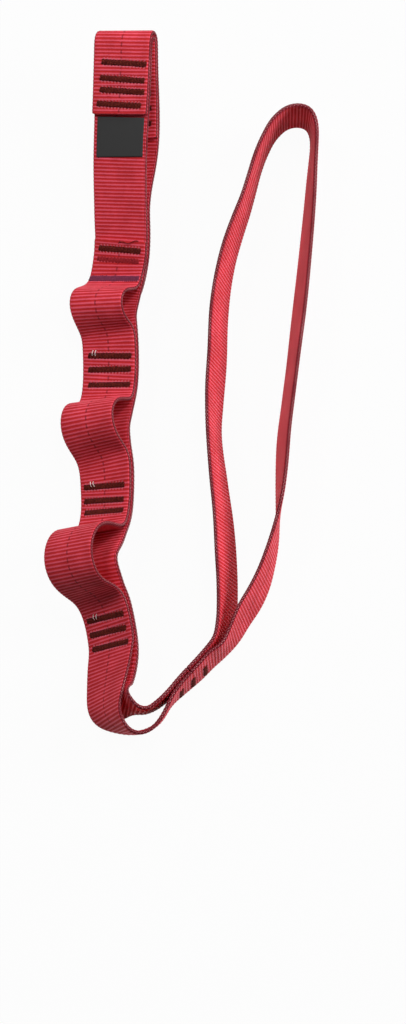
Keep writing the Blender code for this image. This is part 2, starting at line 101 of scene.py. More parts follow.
# The chain's middle line: place across and along, lift in tape widths, roll in degrees, and at
# the throat its share of the opening and the lean of the two layers in degrees
CHAIN_SHARES = (
    (-0.216, 0.493, 1.18, 19), (-0.223, 0.417, 0.93, 22), (-0.233, 0.323, 0.63, 27),
    (-0.231, 0.257, 0.42, 29), (-0.229, 0.203, 0.24, 29), (-0.238, 0.163, 0.13, 28),
    (-0.257, 0.130, 0.12, 28), (-0.269, 0.101, 0.18, 28), (-0.264, 0.074, 0.18, 28),
    (-0.261, 0.050, 0.14, 28), (-0.264, 0.000, 0.05, 29), (-0.279, -0.035, 0.13, 30),
    (-0.289, -0.062, 0.21, 31), (-0.284, -0.090, 0.19, 32), (-0.274, -0.115, 0.14, 33),
    (-0.271, -0.155, 0.05, 35), (-0.274, -0.183, 0.04, 37), (-0.296, -0.217, 0.17, 39),
    (-0.323, -0.257, 0.37, 41), (-0.300, -0.291, 0.25, 43), (-0.268, -0.322, 0.09, 44),
    (-0.252, -0.350, 0.03, 43), (-0.243, -0.383, 0.02, 43), (-0.252, -0.415, 0.00, 48, 0.09, 0),
    (-0.262, -0.436, 0.00, 57, 0.30, 1), (-0.252, -0.453, 0.00, 68, 0.70, 2),
    (-0.213, -0.469, 0.00, 85, 1.05, 3), (-0.165, -0.475, 0.00, 99, 1.00, 4),
    (-0.122, -0.472, 0.00, 102, 0.70, 3), (-0.086, -0.460, 0.00, 98, 0.25, 2),
    (-0.036, -0.440, 0.00, 93), (0.010, -0.422, 0.00, 90), (0.054, -0.406, 0.00, 88),
    (0.097, -0.388, 0.00, 87),
)
# The foot loop's middle line between the junction's two layers, in the same shares, with its roll
LOOP_SHARES = (
    (0.130, -0.370, 82), (0.152, -0.346, 77), (0.163, -0.317, 73), (0.164, -0.289, 72),
    (0.160, -0.248, 71), (0.151, -0.193, 72), (0.133, -0.133, 74), (0.115, -0.051, 77),
    (0.118, -0.015, 75), (0.128, 0.040, 74), (0.136, 0.110, 75), (0.150, 0.153, 77),
    (0.173, 0.195, 79), (0.204, 0.233, 81), (0.234, 0.266, 83), (0.257, 0.297, 84),
    (0.278, 0.326, 85), (0.303, 0.351, 86), (0.346, 0.380, 87), (0.395, 0.395, 88),
    (0.436, 0.397, 88), (0.466, 0.393, 88), (0.485, 0.379, 87), (0.489, 0.362, 86),
    (0.486, 0.343, 85), (0.481, 0.320, 84), (0.472, 0.272, 82), (0.451, 0.185, 80),
    (0.427, 0.100, 79), (0.408, 0.040, 80), (0.390, -0.014, 80), (0.371, -0.073, 80),
    (0.363, -0.125, 82), (0.356, -0.165, 86), (0.349, -0.190, 90), (0.335, -0.222, 95),
    (0.318, -0.248, 98), (0.292, -0.279, 101), (0.261, -0.304, 102), (0.227, -0.325, 101),
    (0.186, -0.355, 97), (0.147, -0.377, 91),
)
# The eye's rear arm: place along the eye, and how far it stands off the front arm
EYE_SHARES = (
    (0.00, 0.53), (0.16, 0.69), (0.29, 0.84), (0.42, 0.97), (0.53, 1.00),
    (0.63, 0.92), (0.74, 0.66), (0.83, 0.35), (0.91, 0.12), (1.00, 0.00),
)
# Each pocket's side view: place from foot to toe, height, and the fold's turn in degrees
POCKET_OUTLINE_SHARES = (
    (
        (0.00, 0.00, 0), (0.14, 0.26, 0), (0.23, 0.70, 1), (0.33, 0.92, 3), (0.46, 1.00, 4),
        (0.60, 0.96, 4), (0.73, 0.82, 6), (0.83, 0.58, 7), (0.91, 0.28, 5), (1.00, 0.00, 3),
        (1.20, 0.00, 0),
    ),
    (
        (0.00, 0.00, -2), (0.08, 0.30, 0), (0.15, 0.68, 1), (0.24, 0.91, 1), (0.35, 0.99, 1),
        (0.47, 1.00, 0), (0.60, 0.91, -1), (0.70, 0.75, -1), (0.80, 0.51, -1), (0.90, 0.22, 0),
        (1.00, 0.00, 0), (1.20, 0.00, 0),
    ),
    (
        (0.00, 0.00, 0), (0.05, 0.16, 0), (0.11, 0.52, 2), (0.19, 0.82, 3), (0.27, 0.95, 3),
        (0.38, 1.00, 5), (0.50, 1.00, 7), (0.59, 0.96, 6), (0.67, 0.84, 4), (0.74, 0.61, 1),
        (0.81, 0.34, -2), (0.88, 0.12, -3), (0.97, 0.00, -2), (1.20, 0.00, 0),
    ),
)
# The throat's outer strand: place across and along, height of its middle in tape widths, and the
# sideways and lengthwise parts of the direction across the tape
THROAT_SHARES = (
    (-0.257, -0.380, 0.380, 0.72, 0.08), (-0.260, -0.392, 0.380, 0.71, 0.09),
    (-0.269, -0.423, 0.405, 0.64, 0.11), (-0.276, -0.450, 0.430, 0.55, 0.10),
    (-0.269, -0.468, 0.460, 0.42, 0.06), (-0.246, -0.4795, 0.490, 0.30, -0.02),
    (-0.219, -0.487, 0.482, 0.21, -0.14), (-0.185, -0.4925, 0.472, 0.15, -0.20),
    (-0.143, -0.492, 0.462, 0.08, -0.21), (-0.110, -0.487, 0.458, 0.03, -0.21),
    (-0.080, -0.477, 0.462, 0.00, -0.20), (-0.062, -0.466, 0.470, 0.01, -0.17),
    (-0.048, -0.455, 0.478, 0.03, -0.11),
)
# Where along the strap that strand leaves the chain's own line, and meets it again
THROAT_FROM = -0.372
THROAT_TO = -0.445

# How far the ribs slant in the tape's own plane: place along the strap, and degrees
FRONT_SLANTS = (
    (-0.39, 0), (-0.36, 2), (-0.335, 3), (-0.31, 2), (-0.29, 3), (-0.27, 3), (-0.26, 3.5),
    (-0.235, 2), (-0.215, 0), (-0.19, -4), (-0.165, -6), (-0.15, -3), (-0.137, 3), (-0.12, 1),
    (-0.05, 0), (0.0, -5), (0.06, -5), (0.09, 0), (0.125, 3), (0.155, 6), (0.175, 2), (0.20, -4),
)
ARM_SLANTS = ((0.19, -3), (0.21, -4.2), (0.34, -4.2), (0.38, -3), (0.46, -1), (0.50, 0))
COVER_SLANTS = ((0.35, -0.8), (0.5, -0.8))
LABEL_SLANTS = ((0.3, -1.6), (0.4, -1.6))
# Where each tack strays from its place: across and up the tape in millimetres, and degrees
STRAYS = {
    "front_flap": ((1.4, 0.6, -3.7), (0.9, 0.8, -4.4), (1.0, 0.4, -3.9), (-0.2, 0.6, -3.0)),
    "group_1": ((1.0, -0.7, -3.3), (0.5, -0.8, -1.5)),
    "group_2": ((0.5, -0.1, -4.5), (0.4, 0.5, -1.2), (0.6, -0.1, -2.6)),
    "group_3": ((-0.4, -0.5, 0.0), (-0.4, -0.4, -4.0), (0.0, 0.7, -4.6)),
    "group_4": ((-0.2, 0.0, -0.4), (-0.3, 0.1, -1.9), (0.0, 0.2, -3.2)),
    "junction": ((-3.4, 0.0, 0.0),) * 3,
}
# How far the main tape's front end and the cover tape's rear end stray, and where
END_STRAYS = 0.9 * MM
END_FROM = 46 * MM
END_RUN = 12 * MM
COVER_STRAYS = 1.1 * MM
COVER_RUN = 16 * MM
# How far the label lies up the tape and across it from its solid
LABEL_UP = 1.3 * MM
LABEL_ASIDE = 0.3 * MM

# The weave's unevenness: wavelengths along and across, sway of the ribs, wander of the edges
RIPPLE_RUN = 40 * MM
RIPPLE_SPAN = 30 * MM
RIB_SWAY = 0.10
EDGE_WANDER = 0.12 * MM
# The dent under a tack, and the bead at a heat-cut end
PRESS_DEPTH = 0.25 * MM
PRESS_WIDTH = 1.5 * MM
PRESS_ASIDE = 3 * MM
SEAL_LENGTH = 0.35 * MM
SEAL_SHARE = 0.93
# How far from a tack the tape still knows of it, in millimetres: off its line, along it, deep
STITCH_REACH = 9.0
TACK_REACH = 13
FACE_REACH = 0.9
# A tack's thread lies this deep in the tape, and its second layer this much higher
TACK_SUNK = 0.25 * MM
TACK_LAYER = 0.1 * MM
FADED_TACK = "bar_tack_group_1_2"
# The row that joins the tapes, and the loose thread ends
JOIN_ROW_AT = 47.2 * MM
JOIN_TILT = -0.04
JOIN_WIDTH = 3.0 * MM
JOIN_INSET = 0.6 * MM
JOIN_PASSES = 52
JOIN_RADIUS = 0.26 * MM
LOOSE_RADIUS = 0.16 * MM
TAIL_RADIUS = 0.2 * MM
TAIL_INSETS = {"group_2": 1.9, "group_3": 4.0, "group_4": 4.2}

# Looks, in millimetres: the warp yarns' pitch, where the selvage starts across the tape, and the
# pitch of the ticks beside a tack; then nylon's refractive index
YARN_PITCH = 0.55
SELVAGE_FROM = 11.95
TICK_PITCH = 1.53
NYLON_IOR = 1.53
# The paper floor: how white it shows, half its width, and how far it lies below the strap
PAPER_GLOW = 0.96
FLOOR_REACH = 3.0
FLOOR_DROP = 0.2 * MM


def linear(colour):
    """Turn an sRGB hex colour into linear red, green and blue."""
    parts = [int(colour[place:place + 2], 16) / 255 for place in (1, 3, 5)]
    return [part / 12.92 if part < 0.04045 else ((part + 0.055) / 1.055) ** 2.4 for part in parts]


def hue(colour, name, words):
    """Make a colour property from an sRGB hex colour."""
    return FloatVectorProperty(
        name=name, description=words, subtype="COLOR", size=3, min=0, max=1, default=linear(colour)
    )


def number(value, name, words, **settings):
    """Make a number property."""
    return FloatProperty(name=name, description=words, default=value, **settings)


def length(millimetres, name, words):
    """Make a length property from millimetres."""
    return number(millimetres * MM, name, words, subtype="DISTANCE", unit="LENGTH", min=0,
                  precision=5)


class WebbingSettings(bpy.types.PropertyGroup):
    """Sizes and colours of the woven tape."""

    rib_pitch: length(1.54, "Rib pitch", "Distance between two weft ribs")
    rib_height: length(0.13, "Rib height", "Height of a rib above the dip beside it")
    loop_height: length(0.14, "Edge loop height", "How far the weft loops stand out of the edge")
    steps: IntProperty(name="Steps", description="Rings to a rib", default=6, min=4, max=10)
    # Crest colour: partly the yarn's own tone, partly a painted highlight on the rib tops
    crest: hue("#F05A70", "Crest", "Warp yarn on top of a rib")
    dip: hue("#CC2A2E", "Dip", "Warp yarn between two ribs")
    tracer: hue("#74141A", "Tracer", "Dark yarn that runs along the outer side")
    selvage: hue("#6A1420", "Selvage", "Bound edge")
    loop: hue("#B87C7E", "Edge loop", "Weft loop that shows at the edge")
    # Colour of the pale ticks beside a bar tack
    tick_colour: hue("#D87080", "Squeezed rib", "Tape that bulges between a bar tack's stitches")


class ThreadSettings(bpy.types.PropertyGroup):
    """Sizes and colours of the stitching."""

    radius: length(0.27, "Thread radius", "Radius of the bar-tack thread")
    width: length(3.1, "Tack width", "Width of a bar tack over its stitch tips")
    passes: IntProperty(name="Passes", description="Zigzag passes in a bar tack", default=26)
    dark: hue("#4A0E0C", "Dark", "Bar-tack thread in the shade of its neighbours")
    fleck: hue("#7C2E20", "Fleck", "Bar-tack thread where its filaments catch the light")
    faded: hue("#96242C", "Faded", "Red thread of one bar tack under the eye")
    join: hue("#703048", "Joining row", "Thread of the row that joins the two tapes")
    tail: hue("#DCC9C4", "Tail", "Loose pale thread ends")


class LabelSettings(bpy.types.PropertyGroup):
    """Size and colour of the bare label."""

    width: length(21.8, "Width", "Size across the tape")
    run: length(16.8, "Run", "Size along the tape")
    thickness: length(0.5, "Thickness", "Thickness of the label")
    cloth: hue("#3A3A3A", "Cloth", "Charcoal satin cloth")


class StageSettings(bpy.types.PropertyGroup):
    """Camera, lights and floor."""

    distance: number(2.0, "Distance", "Camera to the strap", unit="LENGTH")
    elevation: number(math.radians(75), "Elevation", "Height of the view", subtype="ANGLE")
    lens: number(169, "Lens", "Focal length on a 36 mm sensor", unit="CAMERA")
    left: number(10.5, "Left", "Power of the left softbox", unit="POWER")
    top: number(9.8, "Top", "Power of the overhead softbox", unit="POWER")
    side: number(27, "Side", "Power of the low right softbox", unit="POWER")
    sky: number(0.02, "Sky", "Strength of the even light", subtype="FACTOR", min=0, max=1)
    floor: hue("#B8B8B8", "Floor", "Pale paper sweep")


def unit(vectors):
    """Scale each row to length one."""
    return vectors / np.linalg.norm(vectors, axis=-1, keepdims=True)


def walked(points):
    """Return the distance walked along the points."""
    return np.concatenate(([0], np.cumsum(np.linalg.norm(np.diff(points, axis=0), axis=1))))


def evened(rows, step, size=3):
    """Read rows again at an even step along the line that their first columns draw."""
    far = walked(rows[:, :size])
    places = np.linspace(0, far[-1], max(2, math.ceil(far[-1] / step)))
    return np.column_stack([np.interp(places, far, column) for column in rows.T])


def relaxed(rows, passes):
    """Average each row with its neighbours, over and over, as stiff tape would settle."""
    for _ in range(passes):
        rows[1:-1] = (rows[:-2] + 2 * rows[1:-1] + rows[2:]) / 4
    return rows


def smooth_run(rows, size=3):
    """Draw a curve through given rows: cubic Hermite spans, then relaxed."""
    rows = np.array(rows, dtype=float)
    far = walked(rows[:, :size])
    slopes = np.gradient(rows, far, axis=0)
    dense = []
    for first, span in enumerate(np.diff(far)):
        part = np.linspace(0, 1, max(2, math.ceil(span / WALK)), endpoint=False)[:, None]
        dense.append(
            rows[first] * (1 + 2 * part) * (1 - part) ** 2
            + slopes[first] * span * part * (1 - part) ** 2
            + rows[first + 1] * part ** 2 * (3 - 2 * part)
            + slopes[first + 1] * span * part ** 2 * (part - 1)
        )
    return relaxed(evened(np.concatenate((*dense, rows[-1:])), WALK, size), SMOOTHING)


class Run:
    """A tape's middle line, with the directions along it, across the tape and out of its face."""

    def __init__(self, middle, roll):
        self.middle = middle
        self.along = unit(np.gradient(middle, axis=0))
        left = unit(np.cross(UP, self.along))
        above = np.cross(self.along, left)
        turn = np.radians(roll)[:, None]
        self.across = left * np.cos(turn) + above * np.sin(turn)
        self.face = np.cross(self.along, self.across)
        self.far = walked(middle)
        self.length = self.far[-1]

    def read(self, values, places):
        """Read a table of vectors at places along the run."""
        return np.column_stack([np.interp(places, self.far, column) for column in values.T])

    def at(self, places, rise, lean=0):
        """Return points that stand off the run by rise, with the direction across the tape."""
        places = np.atleast_1d(places)
        beyond = np.minimum(places, 0)[:, None] * self.along[0]
        face = unit(self.read(self.face, places))
        across = unit(self.read(self.across, places))
        lean = np.radians(np.broadcast_to(lean, places.shape))[:, None]
        rise = np.broadcast_to(rise, places.shape)[:, None]
        middle = self.read(self.middle, places) + beyond + face * rise
        return middle, across * np.cos(lean) + face * np.sin(lean)


def laid_out(shares):
    """Turn shares into metres, with the middle line's height worked out from lift and roll."""
    rows = []
    for across, along, lift, roll, *rest in shares:
        height = TAPE_WIDTH * (lift + math.sin(math.radians(roll)) / 2)
        rows.append((across * STRAP_SPREAD, along * STRAP_LENGTH, height, roll,
                     *(rest or (0, 0))))
    return rows


def steadied(directions):
    """Average directions over a pocket's length, so that they ignore the bends inside it."""
    half = round(STEADY_SPAN / 2 / WALK)
    padded = np.pad(directions, ((half, half), (0, 0)), mode="edge")
    sums = np.cumsum(padded, axis=0)
    return unit(sums[2 * half:] - sums[:-2 * half])


def level(start, end):
    """Return the rows of a side view that stay flat between two places, ends left out."""
    places = np.arange(start + WALK, end - WALK / 2, WALK)
    return np.column_stack((places, np.zeros((len(places), 3))))


def pocket_outline(pocket, whole):
    """Return a pocket's side view: place along the chain, height, share of height, and turn."""
    foot, toe = POCKET_SHARES[pocket]
    rows = [
        ((foot + (toe - foot) * place) * whole, height * POCKET_RISES[pocket], height, turn)
        for place, height, turn in POCKET_OUTLINE_SHARES[pocket]
    ]
    rows = smooth_run(rows, 2)
    rows[:, 1:3] = np.maximum(rows[:, 1:3], 0)
    return rows


class Chain:
    """The chain's line between its two layers, and where each layer lies on it."""

    def __init__(self):
        rows = smooth_run(laid_out(CHAIN_SHARES))
        self.run = Run(rows[:, :3], rows[:, 3])
        self.length = self.run.length
        self.steady_face = steadied(self.run.face)
        self.steady_across = steadied(self.run.across)
        self.roll = rows[:, 3]
        self.parting = np.maximum(rows[:, 4], 0)
        self.splay = np.maximum(rows[:, 5], 0)

    def apart(self, places):
        """Return half of the throat opening and the lean of the outer layer at places."""
        parting = np.interp(places, self.run.far, self.parting)
        return parting * THROAT_OPENING / 2, np.interp(places, self.run.far, self.splay)

    def back(self, start, end):
        """Return the back layer's middle and across directions between two places."""
        places = np.arange(start, end + WALK / 2, WALK)
        opening, lean = self.apart(places)
        return self.run.at(places, -PITCH / 2 - opening, -lean)

    def front(self, start, end):
        """Return the front layer between two places, with its slack pockets."""
        outline = np.array([(start, 0, 0, 0)])
        for pocket in range(len(POCKET_SHARES)):
            swell = pocket_outline(pocket, self.length)
            outline = np.concatenate((outline, level(outline[-1, 0], swell[0, 0]), swell))
        outline = np.concatenate((outline, level(outline[-1, 0], end), [(end, 0, 0, 0)]))
        places, rise, share, turn = evened(outline, WALK, 2).T
        opening, lean = self.apart(places)
        middle, across = self.run.at(places, PITCH / 2 + opening, lean)
        face = self.run.read(self.run.face, places)
        face = unit(face + (self.run.read(self.steady_face, places) - face) * share[:, None])
        middle = middle + face * rise[:, None]
        steady = self.run.read(self.steady_across, places)
        along = self.run.read(self.run.along, places) * np.tan(np.radians(turn))[:, None]
        return middle, unit(across + (steady - across) * share[:, None] + along)

    def frame(self, place):
        """Return the middle, out-of-face and across directions of a tack on the chain."""
        middle, across = self.run.at(place, 0)
        return middle[0], unit(self.run.read(self.run.face, np.atleast_1d(place)))[0], across[0]


class Eye:
    """The top eye's side view, with the offsets of the two tapes that follow it."""

    def __init__(self, chain):
        self.chain = chain
        widths = [(place * EYE_LENGTH, PITCH + share * EYE_OPENING) for place, share in EYE_SHARES]
        fold = widths[0][1] / 2
        self.end = EYE_SEAM_SHARE * chain.length + COVER_TAIL
        front = [(place, 0) for place in np.arange(self.end, fold, -WALK)]
        turns = np.linspace(0, math.pi, FOLD_STEPS)[1:-1]
        over = [(fold - fold * math.sin(turn), fold * (math.cos(turn) - 1)) for turn in turns]
        rear = [(place + fold * (1 - place / EYE_LENGTH), -width) for place, width in widths]
        rear += [(place, -PITCH) for place in np.arange(EYE_LENGTH, self.end, 3 * MM)[1:]]
        rear.append((self.end, -PITCH))
        line = relaxed(evened(np.concatenate((front, over, smooth_run(rear, 2))), WALK, 2),
                       SMOOTHING)
        heading = unit(np.gradient(line, axis=0))
        self.line = line
        self.inward = np.column_stack((-heading[:, 1], heading[:, 0]))
        self.top = int(np.argmin(line[:, 0]))

    def tape(self, offset, front, rear):
        """Return a tape at an inward offset, from a place on the front to one on the rear."""
        number = np.arange(len(self.line))
        place = self.line[:, 0]
        kept = ((number < self.top) & (place <= front)) | ((number >= self.top) & (place <= rear))
        flat = self.line[kept] + self.inward[kept] * offset
        return self.chain.run.at(flat[:, 0], flat[:, 1])

    def frame(self, place, on_front):
        """Return the middle, out-of-face and across directions of a tack through the eye."""
        numbers = np.arange(self.top) if on_front else np.arange(self.top, len(self.line))
        number = numbers[np.argmin(abs(self.line[numbers, 0] - place))]
        near = self.line[number - 1:number + 2]
        middle, across = self.chain.run.at(near[:, 0], near[:, 1])
        return middle[1], unit(np.cross(across[1], unit(middle[2] - middle[0]))), across[1]


def foot_loop(chain):
    """Return the loop between its two ends at the middle of the junction."""
    ends = chain.length * np.array([JUNCTION_SHARE, (1 + JUNCTION_SHARE) / 2, 1])
    rolls = np.interp(ends, chain.run.far, chain.roll)
    inner, _ = chain.run.at(ends, -PITCH / 2)
    outer, _ = chain.run.at(ends, PITCH / 2)
    rows = [(*point, roll) for point, roll in zip(inner, rolls)]
    rows += [row[:4] for row in laid_out([(x, y, 0, roll) for x, y, roll in LOOP_SHARES])]
    rows += [(*point, 180 - roll) for point, roll in zip(outer[::-1], rolls[::-1])]
    rows = smooth_run(rows)
    return Run(rows[:, :3], rows[:, 3])


def tack_frames(chain, eye):
    """Return every bar tack by name: its group, frame, low face and high face."""
    face = (PITCH + TAPE_THICKNESS) / 2
    tacks = {}
    for side, places in (("front", FLAP_TACKS_FRONT), ("rear", FLAP_TACKS_REAR)):
        for number, place in enumerate(places, 1):
            name = f"bar_tack_{side}_flap_{number}"
            tacks[name] = (f"{side}_flap", eye.frame(place, side == "front"), -face, face)
    for group, share, count, pitch in TACK_GROUPS:
        # The first group also goes through the cover tape's tail
        low = -face - PITCH if group == "group_1" else -face
        for number in range(count):
            place = share * chain.length + (number - (count - 1) / 2) * pitch
            tacks[f"bar_tack_{group}_{number + 1}"] = (group, chain.frame(place), low, face)
    for group, strays in STRAYS.items():
        for number, (across, up, turn) in enumerate(strays, 1):
            name = f"bar_tack_{group}_{number}"
            _, (origin, outward, sideways), low, high = tacks[name]
            upward = np.cross(outward, sideways)
            origin = origin + sideways * across * MM + upward * up * MM
            turn = math.radians(turn)
            sideways = sideways * math.cos(turn) + upward * math.sin(turn)
            tacks[name] = (group, (origin, outward, sideways), low, high)
    return tacks


def slanted(middle, across, rows, heading):
    """Slant the ribs in the tape's plane, where the tape runs up (1) or down (-1) the strap."""
    place, turn = np.array(rows).T
    along = unit(np.gradient(middle, axis=0))
    running = np.clip(2 * heading * along[:, 1], 0, 1)
    turn = np.interp(middle[:, 1] / STRAP_LENGTH, place, turn) * running * heading
    return unit(across + along * np.tan(np.radians(turn))[:, None])


def round_the_throat(middle, across):
    """Lead the front layer round the throat through listed rows."""
    before = middle[:, 1] > THROAT_FROM * STRAP_LENGTH
    last = np.nonzero(middle[:, 1] < THROAT_TO * STRAP_LENGTH)[0][-1]
    rows = []
    for x, y, height, sideways, lengthwise in THROAT_SHARES:
        upward = math.sqrt(1 - sideways ** 2 - lengthwise ** 2)
        rows.append((x * STRAP_SPREAD, y * STRAP_LENGTH, height * TAPE_WIDTH,
                     sideways, lengthwise, upward))
    whole = np.column_stack((middle, across))
    rows = smooth_run(np.concatenate((whole[before], rows, whole[last:])))
    rows = relaxed(rows, 4 * SMOOTHING)
    return rows[:, :3], unit(rows[:, 3:])


CHAIN = Chain()
EYE = Eye(CHAIN)
TACKS = tack_frames(CHAIN, EYE)


def ripple(far, across, seed):
    """Return a slow random wave over a tape, from -1 to 1: a sum of four slanted sines."""
    rng = np.random.default_rng(seed)
    total = 0
    for _ in range(4):
        waves = rng.uniform(0.2, 1.0) / RIPPLE_RUN * far
        waves = waves + rng.uniform(-1, 1) / RIPPLE_SPAN * across
        total = total + np.sin(TURN * (waves + rng.uniform())) / 4
    return total


def pressed(middle):
    """Return how hard the bar tacks press each ring of a tape, from 0 to 1.

    It is the largest over the tacks of a bell exp(-(d / w) ** 2) in the distance d along the
    tape, and nothing where the tack lies on another layer's stretch.
    """
    pull = np.zeros(len(middle))
    for _, (origin, outward, sideways), low, high in TACKS.values():
        away = middle - origin
        near = (abs(away @ outward) < high - low) & (abs(away @ sideways) < PRESS_ASIDE)
        gap = away @ np.cross(outward, sideways)
        pull = np.maximum(pull, near * np.exp(-(gap / PRESS_WIDTH) ** 2))
    return pull


def section(count=19, turns=4):
    """Return the tape's section as places across, places through, and outwardness of the edge.

    Both faces run flat between the selvages; each edge is a half circle.
    """
    rim = TAPE_THICKNESS / 2
    flat_half = TAPE_WIDTH / 2 - rim
    flat = np.linspace(-flat_half, flat_half, count)
    angle = np.radians(np.linspace(90, -90, turns + 2)[1:-1])
    bulge = np.cos(angle)
    zero = np.zeros(count)
    across = np.concatenate((flat, flat_half + rim * bulge, flat[::-1], -flat_half - rim * bulge))
    through = rim * np.concatenate((zero + 1, np.sin(angle), zero - 1, -np.sin(angle)))
    return across, through, np.concatenate((zero, bulge, zero, bulge))


def shell(rings):
    """Return the points, corners and corner counts of a closed skin over rings of points.

    rings is (rings, points, 3). Ring i's point j meets its neighbours i + 1 and j + 1 in a quad,
    and the first and the last ring are caps.
    """
    count, around = rings.shape[:2]
    first = np.arange(count - 1)[:, None] * around
    here = np.arange(around)
    after = (here + 1) % around
    quads = np.stack((first + here, first + here + around, first + after + around, first + after),
                     axis=-1)
    corners = np.concatenate((quads.ravel(), here, here[::-1] + (count - 1) * around))
    sizes = np.concatenate((np.full(quads.size // 4, 4), (around, around)))
    return rings.reshape(-1, 3), corners, sizes


def mesh_of(name, *shells):
    """Make one smooth mesh of closed skins."""
    points, corners, sizes = zip(*shells)
    offsets = np.cumsum([0, *map(len, points[:-1])])
    corners = np.concatenate([block + offset for block, offset in zip(corners, offsets)])
    points, sizes = np.concatenate(points), np.concatenate(sizes)
    mesh = bpy.data.meshes.new(name)
    mesh.vertices.add(len(points))
    mesh.vertices.foreach_set("co", points.ravel().astype(np.float32))
    mesh.loops.add(len(corners))
    mesh.loops.foreach_set("vertex_index", corners.astype(np.int32))
    mesh.polygons.add(len(sizes))
    mesh.polygons.foreach_set("loop_start", (np.cumsum(sizes) - sizes).astype(np.int32))
    mesh.polygons.foreach_set("loop_total", sizes.astype(np.int32))
    mesh.update(calc_edges=True)
    mesh.shade_smooth()
    return mesh


def note(mesh, name, values):
    """Store a vector for each point of a mesh, for its material to read."""
    layer = mesh.attributes.new(name, "FLOAT_VECTOR", "POINT")
    layer.data.foreach_set("vector", values.ravel().astype(np.float32))


def put(mesh, material, replaced=()):
    """Place a finished piece on the strap's body, in the stead of its solids."""
    mesh.materials.append(material)
    piece = bpy.data.objects.new(mesh.name, mesh)
    bpy.context.scene.collection.objects.link(piece)
    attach(piece, "root")
    if replaced:
        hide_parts(*replaced)


def woven_tape(name, middle, across, start=0.0, seed=1):
    """Weave a tape along a run.

    A few rings make a rib. A point at (a, b) of the section goes to middle + across * a +
    out * b. Each face is raised by rib height * c(phase), where c is a round crest; each edge is
    pushed out by the weft loops at the same phase.
    """
    size = bpy.context.scene.strap_webbing
    step = size.rib_pitch / size.steps
    rows = relaxed(evened(np.column_stack((middle, across)), step), 2 * SMOOTHING)
    middle = rows[:, :3] + LAID_AT
    along = unit(np.gradient(middle, axis=0))
    across = unit(rows[:, 3:])
    out = -unit(np.cross(along, across))
    far = start + walked(middle)
    side, through, edge = section()
    depth = through / (TAPE_THICKNESS / 2)
    phase = far[:, None] / size.rib_pitch + RIB_SWAY * ripple(far[:, None], side, seed)
    crest = 0.5 + 0.5 * np.cos(TURN * phase)
    inset = PRESS_DEPTH * pressed(middle - LAID_AT)[:, None]
    inset = inset * np.clip((TACK_LENGTH / 2 + 1 * MM - abs(side)) / (1 * MM), 0, 1)
    rise = (size.rib_height * (crest - 1) - inset) * depth * (1 - edge)
    push = size.loop_height * (crest - 0.6) * edge * np.sign(side)
    wander = EDGE_WANDER * ripple(far, 0 * far, seed + 7)[:, None]
    a = side + push + wander * edge
    b = through + rise
    rings = middle[:, None] + across[:, None] * a[..., None] + out[:, None] * b[..., None]
    rings = sealed(rings, along)
    weave = np.stack(np.broadcast_arrays(phase, side / MM, depth), axis=-1)
    mesh = mesh_of(name, shell(rings))
    note(mesh, "weave", np.concatenate((weave[:1], weave, weave[-1:])))
    note(mesh, "stitch", stitched(rings))
    return mesh


def sewn_length(group):
    """Return the length of a group's bar tacks."""
    return TACK_LENGTH * (JUNCTION_TACK_SHARE if group == "junction" else 1)


def stitched(rings):
    """Return each point's place in the bar tack nearest to it.

    The three numbers are millimetres along the tack, millimetres off its line, and 1 where the
    point lies on the face that a dark tack is sewn on.
    """
    points = rings.reshape(-1, 3) - LAID_AT
    best = np.full(len(points), STITCH_REACH)
    found = np.zeros((len(points), 3))
    found[:, 1] = STITCH_REACH
    for name, (group, (origin, outward, sideways), low, high) in TACKS.items():
        local = (points - origin) / MM
        along, off = local @ sideways, abs(local @ np.cross(outward, sideways))
        along = along * TACK_LENGTH / sewn_length(group)
        deep = local @ outward
        near = np.minimum(abs(deep - high / MM), abs(deep - low / MM)) < FACE_REACH
        here = near & (off < best) & (abs(along) < TACK_REACH)
        best[here] = off[here]
        plain = np.full(len(points), float(name != FADED_TACK))
        found[here] = np.column_stack((along, off, plain))[here]
    return found


def sealed(rings, along):
    """Add a smaller ring past each end, where the hot knife has sealed the tape."""
    shrunk = [ring.mean(axis=0) + (ring - ring.mean(axis=0)) * SEAL_SHARE
              for ring in (rings[0], rings[-1])]
    bead = along[[0, -1]] * SEAL_LENGTH
    return np.concatenate(([shrunk[0] - bead[0]], rings, [shrunk[1] + bead[1]]))


def cord(path, radius, lift, sides=6, squash=1.0):
    """Carry a round section along a path: centre + radius * (cos t * side + sin t * rise).

    squash makes the section lower, as a thread is that is pulled tight.
    """
    along = unit(np.gradient(path, axis=0))
    side = unit(np.cross(along, lift) + 1e-9)[:, None]
    rise = np.cross(side, along[:, None])
    turn = np.linspace(0, TURN, sides, endpoint=False)[:, None]
    return shell(path[:, None] + radius * np.cos(turn) * side
                 + squash * radius * np.sin(turn) * rise)


def on_frame(frame_of, level_at, facing=1):
    """Return the rule that turns places across, forward and above a tack into points."""
    origin, outward, sideways = frame_of
    forward = np.cross(outward, sideways)

    def place(side, ahead, above):
        side, ahead, above = np.broadcast_arrays(side, ahead, above)
        return (origin + LAID_AT + np.outer(side, sideways) + np.outer(ahead, forward)
                + np.outer(level_at + facing * above, outward))

    return place


def on_run(middle, across, start, tilt, level_at):
    """Return the same rule for a seam that follows a tape's face from a place on it."""
    far = walked(middle)
    out = unit(np.cross(across, np.gradient(middle, axis=0)))

    def place(side, ahead, above):
        here = start + ahead + tilt * side
        centre, sideways, outward = (
            np.column_stack([np.interp(here, far, column) for column in rows.T])
            for rows in (middle, across, out))
        return centre + LAID_AT + sideways * side[:, None] + outward * (level_at + above)[:, None]

    return place


